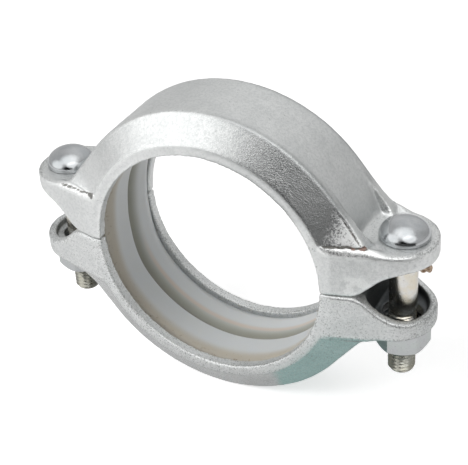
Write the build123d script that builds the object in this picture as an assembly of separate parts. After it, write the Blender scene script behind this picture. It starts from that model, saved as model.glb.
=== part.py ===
from build123d import *
import math
import os

# Flexible grooved coupling for nominal 4 inch pipe (114.3 mm outside diameter).
# Two identical cast half housings close round a C-section rubber ring and are drawn
# together by two oval-neck bolts with heavy hexagon nuts.
#
# Frame: origin at the centre of the bore, Y along the pipe, X across the two bolts,
# Z along the bolts. The housings meet on the plane Z = 0. All sizes are millimetres.

# Pipe groove and the keys that engage it
groove_radius = 55.04
key_clearance = 0.46
key_width = 5.1

# Housing casting
face_width = 50.8
ring_wall = 4.8
chamber_depth = 12.9
shell = 4.8
crown_width = 34.2
rib_width = 4.0
leg_angle = 38.5
pad_height = 22.2
split_gap = 0.3

# Bolt lugs, each a cup that is open towards the split
bolt_reach = 11.8
lug_tip_radius = 19.6
lug_tip_setback = 4.5
lug_wall = 4.0
pad_thickness = 4.8
land_setback = 6.0
land_lead = 2.0
ramp_reach = 8.5
ramp_rise = 7.3
lip_reach = 9.0
lip_rise = 3.7
pocket_round = 3.0
oval_clearance = 0.6

# Rounding of the cast edges
edge_round = 1.2
ring_round = 1.0
crest_round = 1.4
foot_round = 3.0

# How near an edge must lie to a place to count as being there
near = 0.01

# Oval-neck bolt, half inch thread, about two and three quarter inches long under the head
bolt_radius = 6.35
bolt_length = 71.5
head_radius = 11.3
head_rim = 2.2
dome_height = 5.9
head_round = 0.7
neck_length = 16.5
neck_depth = 4.2
tip_chamfer = 1.3

# Heavy hexagon nut
nut_across_flats = 22.2
nut_height = 12.3
nut_chamfer = 1.1
nut_countersink = 0.8
thread_clearance = 0.05
nut_turn_right = 18.7
nut_turn_left = 41.0

# Rubber ring
gasket_clearance = 0.3
gasket_web = 4.6
gasket_side = 3.0
lip_clearance = 0.7
lip_thickness = 3.2
lip_side_flat = 0.5
lip_bevel_width = 4.6
lip_gap = 3.0
lip_fall = 0.7
lip_end_round = 2.2
lip_crest_round = 1.5

# Values worked out from the sizes above
key_radius = groove_radius + key_clearance
ring_radius = key_radius + ring_wall
chamber_radius = key_radius + chamber_depth
crown_radius = chamber_radius + shell
face_half = face_width / 2
crown_half = crown_width / 2
key_face = face_half - key_width
land_height = split_gap / 2
bolt_x = crown_radius + bolt_reach
lug_centre_x = bolt_x - lug_tip_setback
lug_tip_x = lug_centre_x + lug_tip_radius
leg_cos = math.cos(math.radians(leg_angle))
leg_sin = math.sin(math.radians(leg_angle))
leg_foot_x = (crown_radius - pad_height * leg_sin) / leg_cos

# The chamber's shoulders run parallel to the outer shoulders, one shell thickness inside them
shoulder_run = face_half - crown_half
shoulder_rise = crown_radius - ring_radius
shoulder_slope = math.hypot(shoulder_run, shoulder_rise)
shoulder_cos = shoulder_rise / shoulder_slope
shoulder_sin = shoulder_run / shoulder_slope
chamber_side_radius = ring_radius + (key_width * shoulder_cos - shell) / shoulder_sin
chamber_flat_half = face_half - (shell + (chamber_radius - ring_radius) * shoulder_sin) / shoulder_cos


def at_y(face, y):
    # A sketch laid upright across the pipe, at the given place along it
    return Pos(0, y, 0) * (Plane.XZ * face)


def leg_wedge(radius, leg_end, y):
    # Sector under one leg, from the crown or ring circle to the foot on the right pad
    centre = (0, land_height)
    leg_start = (radius * leg_cos, radius * leg_sin)
    return at_y(make_face(Polyline(centre, leg_start, leg_end, centre)), y)


def right_leg(side):
    # Rib whose outer edge leaves the crown circle along its tangent, and the shoulder beside it
    crown_foot = (leg_foot_x, pad_height)
    ring_foot = (math.sqrt(ring_radius ** 2 - pad_height ** 2), pad_height)
    rib_middle = side * (crown_half - rib_width / 2)
    rib = extrude(leg_wedge(crown_radius, crown_foot, rib_middle), rib_width / 2, both=True)
    shoulder = loft([leg_wedge(crown_radius, crown_foot, side * crown_half),
                     leg_wedge(ring_radius, ring_foot, side * face_half)], ruled=True)
    return rib + shoulder


def right_arch():
    # Crown barrel and sloped shoulders turned a quarter about the pipe axis, with two legs
    section = Polyline((0, -face_half), (ring_radius, -face_half), (crown_radius, -crown_half),
                       (crown_radius, crown_half), (ring_radius, face_half), (0, face_half),
                       (0, -face_half))
    turned = revolve(make_face(section), axis=Axis.Y)
    side = 2 * crown_radius
    quarter = Pos(crown_radius, 0, crown_radius + land_height) * Box(side, side, side)
    return (turned & quarter) + right_leg(-1) + right_leg(1)


def lug_plan(inset):
    # Lug seen from above: a round tip and two tangents that spread to the key rings
    radius = lug_tip_radius - inset
    spread = face_half - inset
    away_x = ring_radius - lug_centre_x
    reach = math.hypot(away_x, spread)
    touch = math.atan2(spread, away_x) - math.acos(radius / reach)
    touch_x = lug_centre_x + radius * math.cos(touch)
    touch_y = radius * math.sin(touch)
    start_x = key_radius / 2
    tip = ThreePointArc((touch_x, -touch_y), (lug_centre_x + radius, 0), (touch_x, touch_y))
    sides = Polyline((touch_x, touch_y), (ring_radius, spread), (start_x, spread), (start_x, -spread),
                     (ring_radius, -spread), (touch_x, -touch_y))
    return make_face(tip + sides)


def right_lug():
    # Full height block on the lug's plan
    return Pos(0, 0, land_height) * extrude(lug_plan(0), pad_height - land_height)


def split_relief():
    # Space left under the lug: flat land at the split, then a smooth rise to the lip round the bolt
    land_end = (crown_radius - land_setback, land_height)
    ramp_start = (crown_radius, land_height + land_lead)
    ramp_end = (ramp_start[0] + ramp_reach, ramp_start[1] + ramp_rise)
    lip_start = (ramp_end[0] + lip_reach, ramp_end[1] + lip_rise)
    lip_end = (lug_tip_x + lug_wall, lip_start[1])
    rise = Spline(land_end, ramp_start, ramp_end, lip_start, lip_end, tangents=[(1, 0), (1, 0)])
    outside = Polyline(lip_end, (lip_end[0], -land_height), (land_end[0], -land_height), land_end)
    return extrude(at_y(make_face(rise + outside), -face_half), -face_width)


def on_lug_border(edge):
    middle = edge.position_at(0.5)
    return lug_plan(0).face().outer_wire().distance_to(Vertex(middle.X, middle.Y, 0)) < near


def is_crest(edge, place):
    # Outer edge above the pad in either of the two planes this far from the middle
    box = edge.bounding_box()
    in_plane = abs(abs(box.min.Y) - place) < near and box.size.Y < near
    return in_plane and box.size.X > near and box.max.Z > pad_height + near


def is_on_pad(edge):
    box = edge.bounding_box()
    return abs(box.min.Z - pad_height) < near and abs(box.max.Z - pad_height) < near


def is_floor_foot(edge):
    # Foot of the crown between the two ribs, and of the ribs' inner sides
    between_ribs = abs(edge.position_at(0.5).Y) < crown_half - rib_width + near
    return is_on_pad(edge) and between_ribs and not on_lug_border(edge)


def is_rim(edge):
    # Edge round the lug's open side, from the key ring to the tip
    box = edge.bounding_box()
    upright = box.size.X < near and box.size.Y < near
    below_pad = box.max.Z < pad_height - edge_round
    return on_lug_border(edge) and box.min.X > ring_radius - near and below_pad and not upright


def round_edges(body, is_wanted, radius):
    return body.fillet(radius, [edge for edge in body.edges() if is_wanted(edge)])


def right_side():
    body = right_arch() + right_lug() - split_relief()
    body = round_edges(body, lambda edge: is_crest(edge, crown_half), crest_round)
    body = round_edges(body, is_floor_foot, foot_round)
    body = round_edges(body, lambda edge: is_crest(edge, face_half), ring_round)
    body = round_edges(body, lambda edge: is_on_pad(edge) and on_lug_border(edge), edge_round)
    return round_edges(body, is_rim, edge_round)


def lug_pocket():
    # Hollow of the right lug, up to the underside of its pad
    depth = pad_height - pad_thickness
    plan = lug_plan(lug_wall) & (Pos(crown_radius + lug_tip_x, 0) * Rectangle(2 * lug_tip_x, 2 * face_half))
    hollow = extrude(plan, depth)
    inner_corners = hollow.edges().filter_by(Axis.Z).sort_by(Axis.X)[:2]
    return fillet(inner_corners, pocket_round)


def oval_hole():
    width = 2 * (bolt_radius + oval_clearance)
    return Pos(bolt_x, 0, 0) * extrude(SlotOverall(neck_length + 2 * oval_clearance, width), 2 * pad_height)


def chamber():
    # Space for the rubber ring between the two keys
    half = Polyline((0, -key_face), (chamber_side_radius, -key_face), (chamber_radius, -chamber_flat_half),
                    (chamber_radius, chamber_flat_half), (chamber_side_radius, key_face), (0, key_face),
                    (0, -key_face))
    return revolve(make_face(half), axis=Axis.Y)


def on_both_sides(shape):
    return shape + mirror(shape, about=Plane.YZ)


def half_housing():
    body = on_both_sides(right_side())
    body -= Rot(90, 0, 0) * Cylinder(key_radius, 2 * face_width)
    body -= chamber()
    body -= on_both_sides(lug_pocket())
    body -= on_both_sides(oval_hole())
    return body


def gasket():
    # C-section ring: web outside, and two lips that reach in towards each other
    outer = chamber_radius - gasket_clearance
    flat = chamber_flat_half - gasket_clearance
    side = key_face - gasket_clearance
    side_radius = chamber_side_radius - gasket_clearance
    crest = key_radius + lip_clearance
    crest_y = side - lip_bevel_width + gasket_clearance
    edge = crest + lip_fall
    gap = lip_gap / 2
    lip_back = edge + lip_thickness
    inner = crest_y - gasket_side / 2
    web = outer - gasket_web
    half = [(outer, flat), (side_radius, side), (side_radius - lip_side_flat, side), (crest, crest_y),
            (edge, gap), (lip_back, gap), (lip_back, inner), (web, flat - gasket_side)]
    other = [(radius, -y) for radius, y in reversed(half)]
    section = make_face(Polyline(*half, *other, close=True))
    section = round_corners(section, edge, lip_end_round)
    section = round_corners(section, crest, lip_crest_round)
    return revolve(section, axis=Axis.Y)


def round_corners(section, radius, rounding):
    # Rounds the section's corners that lie at this distance from the axis
    corners = [vertex for vertex in section.vertices() if abs(vertex.X - radius) < near]
    return fillet(corners, rounding)


def bolt():
    # Dome head, oval neck that stops it turning, and a plain shank; its seat is at Z = 0
    rim = (head_radius, head_rim)
    dome_radius = (head_radius ** 2 + dome_height ** 2) / (2 * dome_height)
    half_angle = math.asin(head_radius / dome_radius) / 2
    centre_z = head_rim + dome_height - dome_radius
    dome_mid = (dome_radius * math.sin(half_angle), centre_z + dome_radius * math.cos(half_angle))
    top = (0, head_rim + dome_height)
    head = make_face(Polyline(top, (0, 0), (head_radius, 0), rim) + ThreePointArc(rim, dome_mid, top))
    body = revolve(Plane.XZ * head, axis=Axis.Z)
    body = fillet(body.edges().filter_by(lambda edge: abs(edge.center().Z - head_rim) < near), head_round)
    body += extrude(SlotOverall(neck_length, 2 * bolt_radius), -neck_depth)
    shank = Pos(0, 0, -bolt_length / 2) * Cylinder(bolt_radius, bolt_length)
    tip = shank.edges().sort_by(Axis.Z)[0]
    return body + chamfer(tip, tip_chamfer)


def nut(turn):
    # Seat at Z = 0, height downwards, corners turned off at both ends
    corner_radius = nut_across_flats / math.sqrt(3)
    face_radius = nut_across_flats / 2
    hexagon = extrude(Rot(0, 0, turn) * RegularPolygon(corner_radius, 6), -nut_height)
    turned = make_face(Polyline((0, 0), (face_radius, 0), (corner_radius, -nut_chamfer),
                                (corner_radius, nut_chamfer - nut_height), (face_radius, -nut_height),
                                (0, -nut_height), (0, 0)))
    body = hexagon & revolve(Plane.XZ * turned, axis=Axis.Z)
    hole_radius = bolt_radius + thread_clearance
    body -= Pos(0, 0, -nut_height / 2) * Cylinder(hole_radius, 2 * nut_height)
    mouths = [edge for edge in body.edges().filter_by(GeomType.CIRCLE) if edge.radius < hole_radius + near]
    return chamfer(mouths, nut_countersink)


def main():
    os.makedirs("parts", exist_ok=True)
    housing = half_housing()
    bolt_shape = bolt()
    pieces = {
        "housing_upper": housing,
        "housing_lower": Rot(180, 0, 0) * housing,
        "gasket": gasket(),
        "bolt_left": Pos(-bolt_x, 0, pad_height) * bolt_shape,
        "bolt_right": Pos(bolt_x, 0, pad_height) * bolt_shape,
        "nut_left": Pos(-bolt_x, 0, -pad_height) * nut(nut_turn_left),
        "nut_right": Pos(bolt_x, 0, -pad_height) * nut(nut_turn_right),
    }
    for name, shape in pieces.items():
        export_step(shape, f"parts/{name}.step")


main()
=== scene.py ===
import math

import bmesh
import bpy
import numpy as np
from bpy.props import FloatProperty, FloatVectorProperty, IntProperty, PointerProperty
from mathutils import Matrix, Vector, noise


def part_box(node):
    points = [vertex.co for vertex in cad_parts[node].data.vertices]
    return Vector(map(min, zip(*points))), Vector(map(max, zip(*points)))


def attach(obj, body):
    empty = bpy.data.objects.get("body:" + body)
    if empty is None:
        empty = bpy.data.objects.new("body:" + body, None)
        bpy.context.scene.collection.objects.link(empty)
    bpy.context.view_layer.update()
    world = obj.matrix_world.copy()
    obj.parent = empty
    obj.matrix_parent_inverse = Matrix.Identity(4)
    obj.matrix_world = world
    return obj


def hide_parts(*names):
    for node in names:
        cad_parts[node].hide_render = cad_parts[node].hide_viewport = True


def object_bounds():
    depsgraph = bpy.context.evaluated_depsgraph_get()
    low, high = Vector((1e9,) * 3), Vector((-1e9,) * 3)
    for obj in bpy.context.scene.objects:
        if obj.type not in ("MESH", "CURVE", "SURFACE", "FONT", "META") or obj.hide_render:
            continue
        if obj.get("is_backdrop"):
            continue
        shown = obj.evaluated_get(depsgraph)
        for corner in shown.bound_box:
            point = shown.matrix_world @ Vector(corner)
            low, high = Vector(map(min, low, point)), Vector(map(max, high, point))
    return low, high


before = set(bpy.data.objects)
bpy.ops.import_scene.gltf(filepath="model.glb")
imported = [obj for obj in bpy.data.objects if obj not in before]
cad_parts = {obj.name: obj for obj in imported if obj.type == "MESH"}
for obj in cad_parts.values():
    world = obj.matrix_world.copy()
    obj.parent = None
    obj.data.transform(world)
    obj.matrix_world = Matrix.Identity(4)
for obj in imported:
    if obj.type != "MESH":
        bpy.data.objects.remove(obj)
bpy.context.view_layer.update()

bl_info = {
    "name": "Grooved pipe coupling",
    "version": (1, 0, 0),
    "blender": (4, 5, 0),
    "location": "3D View > Sidebar > Coupling",
    "description": "Cast housings, sealing ring, bolts and nuts of a two-bolt pipe coupling, "
                   "with its studio stage",
    "category": "Object",
}

MM = 0.001

# Places that the frame gives: the seats of the bolts and nuts, and the widths across the pipe
bolt_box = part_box("bolt_right")
ring_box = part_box("gasket")
housing_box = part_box("housing_upper")
bolt_x = (bolt_box[0].x + bolt_box[1].x) / 2
seat_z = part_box("nut_right")[1].z * -1
bolt_tip_z = bolt_box[0].z
head_top_z = bolt_box[1].z
head_radius = (bolt_box[1].x - bolt_box[0].x) / 2
ring_radius = ring_box[1].x
ring_half = ring_box[1].y
face_half = housing_box[1].y
crown_radius = housing_box[1].z
# Sizes of the housing that its box doesn't give
lug_tip_radius = 19.6 * MM
lug_centre_x = housing_box[1].x - lug_tip_radius
crown_half = 17.1 * MM
rib_inside = 13.1 * MM
key_outer_radius = 60.3 * MM

# Seen from above: where a shoulder's foot and the pad's edge in front of it start, and their outward normals
FOOT_START = (56.06 * MM, 25.4 * MM)
FOOT_NORMAL = (0.313, 0.95)
BORDER_START = (60.3 * MM, 25.4 * MM)
BORDER_NORMAL = (0.248, 0.969)
# The zinc in front of the foot reaches this far behind it, and fades out between these places across
FOOT_BEHIND = 1.2 * MM
FOOT_END = (74 * MM, 84 * MM)
# Share of the shoulders' flare in height at the pipe's faces, and how it fades upwards and towards the faces
COVE_AT_FACE = 0.3
COVE_FADE = 1.5
COVE_FACE_FADE = 0.6
# Where the floor between the ribs starts to dip below the crown's circle, and the share of the dip that is
# lost behind
FLOOR_TOP = 56 * MM
DIP_LOST_BEHIND = 0.75
# How far inside the lug's outline its pocket is shaded
POCKET_INSET = 3.6 * MM
# Crease at the right shoulder's foot: its height above the pad
FOOT_CREASE_HEIGHT = 2.4 * MM
# Crease along the right crest: the heights between which it begins and ends
CREST_CREASE_BEGIN = (0.5 * MM, 2 * MM)
CREST_CREASE_END = (11 * MM, 19 * MM)
# Crease on the left pad: how far inside the pad's edge it lies, where across it begins and ends, where it
# thins and thickens again, and the least share of its depth between
PAD_CREASE_INSET = 1.0 * MM
PAD_CREASE_BEGIN = (56.2 * MM, 57.2 * MM)
PAD_CREASE_END = (76 * MM, 79 * MM)
PAD_CREASE_THINS = (58 * MM, 62 * MM)
PAD_CREASE_THICKENS = (69 * MM, 74 * MM)
PAD_CREASE_LEAST = 0.78

# Patches on the castings, each as its centre, the radius of its core and the radius where it ends.
# Frosted patch low on the front of the upper right lug
FROST = ((71 * MM, -23 * MM, 6 * MM), 4.5 * MM, 9 * MM)
# Painted highlight on the inner wall of the back rib at its right foot
RIB_WALL_HIGHLIGHT = ((69.5 * MM, 13.5 * MM, 32 * MM), 4 * MM, 9 * MM)
# White runs of zinc low on the right shoulder, whose white is partly a painted highlight
WHITE_RUNS_AND_HIGHLIGHT = ((71 * MM, -18.5 * MM, 28 * MM), 3 * MM, 21 * MM)
# Rust at the corner between the right shoulder's foot and its crest
RUST = ((74 * MM, -19 * MM, 24.5 * MM), 5 * MM, 10 * MM)
# Colours of single marks: on the castings, the drip, the ring, and the bolts and nuts
EDGE_ZINC = (0.84, 0.85, 0.84)
WORN_GREY = (0.30, 0.31, 0.31)
# White of the runs and of the bead at the feet, partly a painted highlight
RUN_AND_HIGHLIGHT_WHITE = (0.90, 0.905, 0.90)
# Painted highlight on the back rib's wall
WALL_HIGHLIGHT_ZINC = (0.80, 0.81, 0.80)
FROST_WHITE = (0.88, 0.89, 0.88)
# Dark dirt in the creases, which also paints their shade
CREASE_DIRT_AND_SHADE = (0.10, 0.095, 0.085)
POCKET_SHADE = (0.085, 0.095, 0.10)
DRIP_ZINC = (0.72, 0.56, 0.42)
DRIP_STAIN = (0.28, 0.17, 0.10)
CLOUDED_RUBBER = (0.52, 0.53, 0.525)
HEAD_CLOUDS = (0.37, 0.395, 0.41)
NUT_CLOUDS = (0.50, 0.54, 0.52)

# Centre and radius of each lump of the zinc drip
DRIP_LUMPS = (
    ((97.3 * MM, -4.5 * MM, 11.7 * MM), 2.0 * MM),
    ((95.4 * MM, -5.5 * MM, 10.6 * MM), 1.5 * MM),
    ((97.6 * MM, -3.8 * MM, 10.0 * MM), 1.3 * MM),
)

# Sealing ring: half widths of its web outside and inside, the radii where its flat side begins and ends, the
# rounding of the lips' crests, and how far behind the crest a lip leaves the web
WEB_HALF_OUTSIDE = 14.18 * MM
WEB_HALF_INSIDE = 11.18 * MM
SIDE_OUTSIDE = 59.06 * MM
SIDE_INSIDE = 58.56 * MM
CREST_ROUND = 2.6 * MM
LIP_ROOT = 1.5 * MM

# Bolts: how the thread runs out and is chamfered at the tip, how far shank and neck reach into the head, and
# the heights above the tip between which the painted shade of the thread's grooves starts
THREAD_RUN_OUT = 2.5 * MM
THREAD_TIP = 1.6 * MM
SHANK_IN_HEAD = 1 * MM
NECK_IN_HEAD = 0.2 * MM
TIP_SHADE_FROM = (26 * MM, 21 * MM)

# Brightness of the room for the metal and for the rest, and of the floor as the metal and the camera see it
ROOM_LEVEL = 0.66
AMBIENT = 0.39
FLOOR_GLOW = 0.34
FLOOR_TO_CAMERA = 0.56
# Under the coupling the floor reflects darker: half length of that place, and how far beyond it this fades
SHADE_HALF = 60 * MM
SHADE_FADE = (15 * MM, 110 * MM)
# Where the floor's glow falls off to the left
LEFT_FADE = (-160 * MM, -60 * MM)
# Green card on the floor that only reflections show: its x and y limits, and the softness of its edge
CARD = (28 * MM, 98 * MM, -62 * MM, 60 * MM)
CARD_EDGE = 3 * MM
# Azimuth, elevation, inner and outer radius in degrees, and strength of each bright or dark area of the room
GLOWS = (
    (-44, 24, 16, 38, 0.95),
    (0, 80, 6, 40, 1.1),
    (44, 44, 20, 31, 0.9),
    (180, 40, 5, 45, 0.25),
    (14, 15, 6, 28, -0.66),
    (150, 5, 10, 60, -0.12),
)
# Azimuth, distance, width and top of the dark flag in front, which only reflections show
FLAG = (32, 260 * MM, 420 * MM, 64 * MM)
# Name, azimuth, elevation, distance, width, height and power of each lamp
SOFTBOXES = (
    ("key", -38, 36, 0.8, 0.5, 0.4, 4.2),
    ("top", 140, 65, 0.9, 0.6, 0.5, 1.2),
)


# Helpers for meshes

def new_object(name, mesh):
    obj = bpy.data.objects.new(name, mesh)
    bpy.context.scene.collection.objects.link(obj)
    return obj


def plain_copy(obj, name):
    # The evaluated object as a plain mesh without modifiers
    graph = bpy.context.evaluated_depsgraph_get()
    mesh = bpy.data.meshes.new_from_object(obj.evaluated_get(graph), depsgraph=graph)
    bpy.data.objects.remove(obj)
    mesh.name = name
    return new_object(name, mesh)


def one_skin(obj, name, voxel):
    # The object as one closed skin whose faces are about this size
    remesh = obj.modifiers.new("One skin", "REMESH")
    remesh.mode = "VOXEL"
    remesh.voxel_size = voxel
    remesh.use_smooth_shade = True
    return plain_copy(obj, name)


def mesh_of(bm, name):
    mesh = bpy.data.meshes.new(name)
    bm.to_mesh(mesh)
    bm.free()
    return mesh


def lathe(profile, segments, closed, along_y):
    # Turns a list of (radius, height) about an axis; a point on the axis becomes one vertex
    bm = bmesh.new()
    rings = []
    for radius, height in profile:
        ring = []
        for k in range(segments if radius > 1e-7 else 1):
            angle = 2 * math.pi * k / segments
            across, up = radius * math.cos(angle), radius * math.sin(angle)
            ring.append(bm.verts.new((across, height, up) if along_y else (across, up, height)))
        rings.append(ring)
    for low, high in zip(rings, rings[1:] + rings[:1] if closed else rings[1:]):
        for k in range(segments):
            n = (k + 1) % segments
            corners = [low[k % len(low)], low[n % len(low)], high[n % len(high)], high[k % len(high)]]
            corners = [v for i, v in enumerate(corners) if v not in corners[:i]]
            if len(corners) > 2:
                bm.faces.new(corners)
    bmesh.ops.recalc_face_normals(bm, faces=bm.faces)
    mesh = mesh_of(bm, "turned")
    mesh.shade_smooth()
    return mesh


def rounded(points, steps, closed):
    # The outline of (x, y, rounding) points with each corner replaced by a short curve
    count = len(points)
    result = []
    for i, (x, y, rounding) in enumerate(points):
        corner = Vector((x, y))
        if rounding == 0 or not closed and i in (0, count - 1):
            result.append((x, y))
            continue
        before = Vector(points[i - 1][:2]) - corner
        after = Vector(points[(i + 1) % count][:2]) - corner
        start = corner + before.normalized() * min(rounding, before.length * 0.48)
        end = corner + after.normalized() * min(rounding, after.length * 0.48)
        for k in range(steps + 1):
            t = k / steps
            result.append(tuple(start * (1 - t) ** 2 + corner * (2 * t * (1 - t)) + end * t ** 2))
    return result


def mesh_arrays(mesh):
    points = np.empty(len(mesh.vertices) * 3)
    normals = np.empty(len(mesh.vertices) * 3, np.float32)
    edges = np.empty(len(mesh.edges) * 2, np.int64)
    mesh.vertices.foreach_get("co", points)
    mesh.vertices.foreach_get("normal", normals)
    mesh.edges.foreach_get("vertices", edges)
    return points.reshape(-1, 3), normals.reshape(-1, 3).astype(float), edges.reshape(-1, 2)


def set_points(mesh, points):
    mesh.vertices.foreach_set("co", points.astype(np.float32).ravel())
    mesh.update()


def smooth_positions(points, edges, weight, steps, outward=None):
    # Moves each point towards its neighbours' mean; where outward is given, only along it
    count = np.bincount(edges.ravel(), minlength=len(points))[:, None]
    for _ in range(steps):
        total = np.zeros_like(points)
        for axis in range(points.shape[1]):
            total[:, axis] = (np.bincount(edges[:, 0], points[edges[:, 1], axis], len(points))
                              + np.bincount(edges[:, 1], points[edges[:, 0], axis], len(points)))
        move = total / np.maximum(count, 1) - points
        if outward is not None:
            move = outward * np.maximum((move * outward).sum(1, keepdims=True), 0)
        points = points + move * weight
    return points


def blurred(values, edges, steps):
    # One value for each point, blurred over its neighbours
    return smooth_positions(values.astype(float)[:, None], edges, 0.5, steps)[:, 0]


def step_between(values, low, high):
    # 0 below low and 1 above high, smooth between
    share = np.clip((values - low) / (high - low), 0, 1)
    return share * share * (3 - 2 * share)


def lump_noise(points, size):
    # Noise from -1 to 1 whose lumps are about this size
    return np.array([noise.noise(Vector(p) / size) for p in points])


# Helpers for materials

def feed(tree, socket, value):
    # Links the socket to another one, or sets its value
    if isinstance(value, bpy.types.NodeSocket):
        tree.links.new(value, socket)
    else:
        socket.default_value = value


def add(tree, kind, settings=None, **values):
    # Adds a node; settings are its properties, and values its sockets, by name with spaces as underscores or
    # by number as i0
    node = tree.nodes.new(kind)
    for key, value in (settings or {}).items():
        setattr(node, key, value)
    for key, value in values.items():
        by_number = key[0] == "i" and key[1:].isdigit()
        feed(tree, node.inputs[int(key[1:]) if by_number else key.replace("_", " ")], value)
    return node


def new_material(name):
    material = bpy.data.materials.new(name)
    material.use_nodes = True
    tree = material.node_tree
    tree.nodes.clear()
    surface = tree.nodes.new("ShaderNodeBsdfPrincipled")
    output = tree.nodes.new("ShaderNodeOutputMaterial")
    tree.links.new(surface.outputs["BSDF"], output.inputs["Surface"])
    return material, tree, surface


def coordinates(tree):
    return tree.nodes.new("ShaderNodeTexCoord").outputs["Object"]


def axes(tree, where):
    return add(tree, "ShaderNodeSeparateXYZ", {}, Vector=where).outputs


def grain(tree, where, size, detail=2.0, roughness=0.5):
    # Noise from 0 to 1 whose lumps are about this size in metres
    return add(tree, "ShaderNodeTexNoise", {}, Vector=where, Scale=1 / size, Detail=detail,
               Roughness=roughness).outputs["Fac"]


def ramp(tree, value, low, high):
    # 0 below low and 1 above high, smooth between
    return add(tree, "ShaderNodeMapRange", {"interpolation_type": "SMOOTHSTEP"}, Value=value,
               From_Min=low, From_Max=high).outputs["Result"]


def maths(tree, operation, *values):
    node = add(tree, "ShaderNodeMath", {"operation": operation})
    for socket, value in zip(node.inputs, values):
        feed(tree, socket, value)
    return node.outputs[0]


def times(tree, first, second):
    return maths(tree, "MULTIPLY", first, second)


def scaled(tree, value, factor, start):
    # The value times the factor, plus the start
    return maths(tree, "MULTIPLY_ADD", value, factor, start)


def blend_colours(tree, share, first, second):
    # The first colour with this share of the second; each is a socket or three values
    node = add(tree, "ShaderNodeMix", {"data_type": "RGBA"}, i0=share)
    for index, tone in ((6, first), (7, second)):
        feed(tree, node.inputs[index], tone if isinstance(tone, bpy.types.NodeSocket) else (*tone, 1.0))
    return node.outputs[2]


def bump(tree, height, distance, strength=1.0, normal=None):
    node = add(tree, "ShaderNodeBump", {}, Height=height, Distance=distance, Strength=strength)
    if normal:
        tree.links.new(normal, node.inputs["Normal"])
    return node.outputs["Normal"]


def mask(tree, name):
    return add(tree, "ShaderNodeAttribute", {"attribute_name": name}).outputs["Fac"]


def near_place(tree, where, centre, core, reach):
    # 1 nearer to this place than the core, 0 beyond the reach
    apart = add(tree, "ShaderNodeVectorMath", {"operation": "DISTANCE"}, i0=where, i1=centre)
    return ramp(tree, apart.outputs["Value"], reach, core)


def use_material(obj, *materials):
    obj.data.materials.clear()
    for material in materials:
        obj.data.materials.append(material)


# Settings that a user would change

def length(title, text, value, **limits):
    return FloatProperty(name=title, description=text, default=value, unit="LENGTH", **limits)


def turn(title, text, degrees):
    return FloatProperty(name=title, description=text, default=math.radians(degrees), subtype="ANGLE")


def tint(title, text, value):
    return FloatVectorProperty(name=title, description=text, default=value, subtype="COLOR")


class CouplingCastingSettings(bpy.types.PropertyGroup):
    voxel: length("Mesh size", "Size of the casting's faces", 0.7 * MM, min=0.4 * MM)
    smooth_steps: IntProperty(name="Edge smoothing", default=3, min=0,
                              description="Rounds of smoothing that soften the cast edges")
    fillet_steps: IntProperty(name="Foot smoothing", default=30, min=0,
                              description="Rounds that fill the inner corners on the pads")
    cove_depth: length("Cove depth", "How far the shoulders flare out above the pads", 2.6 * MM)
    cove_height: length("Cove height", "Height of that flare at the crown", 13 * MM)
    bead_height: length("Bead height", "Height of the zinc that ran in at the feet", 2.2 * MM)
    floor_dip: length("Floor dip", "Extra depth of the floor between the ribs", 1.5 * MM)
    crack_width: length("Crack width", "Width of the creases at the shoulders' feet", 0.48 * MM)
    crack_depth: length("Crack depth", "Depth of those creases", 0.35 * MM)
    grain_size: length("Grain size", "Width of the lumps that the sand mould leaves", 2.4 * MM)
    grain_height: length("Grain height", "Height of the cast lumps", 0.075 * MM)
    pebble_size: length("Pebble size", "Width of the pebbles in the shoulders' zinc", 0.5 * MM)
    pebble_height: length("Pebble height", "Height of those pebbles", 0.045 * MM)
    zinc: tint("Zinc", "Colour of the galvanised surface", (0.715, 0.723, 0.72))
    dull_zinc: tint("Dull zinc", "Colour of the duller spots", (0.47, 0.49, 0.49))
    dross: tint("Dross", "Colour of the dark specks in the zinc", (0.20, 0.205, 0.205))
    rust: tint("Rust", "Colour of the stain in the creases", (0.16, 0.075, 0.05))


class CouplingRingSettings(bpy.types.PropertyGroup):
    lip_radius: length("Lip radius", "Smallest radius of the lips, at their crests", 56.2 * MM)
    lip_fall: length("Lip fall", "How far the lips fall away towards the gap", 0.7 * MM)
    lip_thickness: length("Lip thickness", "Thickness of the lips", 3.2 * MM)
    lip_gap: length("Lip gap", "Gap between the two lips", 0.5 * MM)
    lip_end_round: length("Lip end", "Bevel at the front lip's end", 0.7 * MM)
    slope_depth: length("Slope depth", "Depth of the slope at the back lip's end", 2.0 * MM)
    slope_width: length("Slope width", "Width of that slope", 4.5 * MM)
    bulge: length("Bulge", "How far the lips stand into the bore on the left", 2.2 * MM)
    bevel_width: length("Bevel width", "Width of the outer bevels", 4.3 * MM)
    web: length("Web", "Thickness of the outer web", 4.6 * MM)
    corner: length("Corner", "Rounding of the ring's moulded corners", 0.5 * MM)
    rubber: tint("Rubber", "Colour of the ring's lips", (0.64, 0.66, 0.665))
    bevel: tint("Bevel", "Colour of the outer bevels", (0.50, 0.465, 0.40))
    stain: tint("Stain", "Colour of the brown spots on the bevels", (0.30, 0.24, 0.17))
    # Painted glow of light through the thin silicone near the gap
    glow: tint("Thin edge", "Warm colour of the thin edges at the gap", (0.66, 0.50, 0.38))
    # Painted shade on the back lip beside the gap
    back: tint("Back lip", "Colour of the back lip beside the gap", (0.33, 0.33, 0.285))


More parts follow.
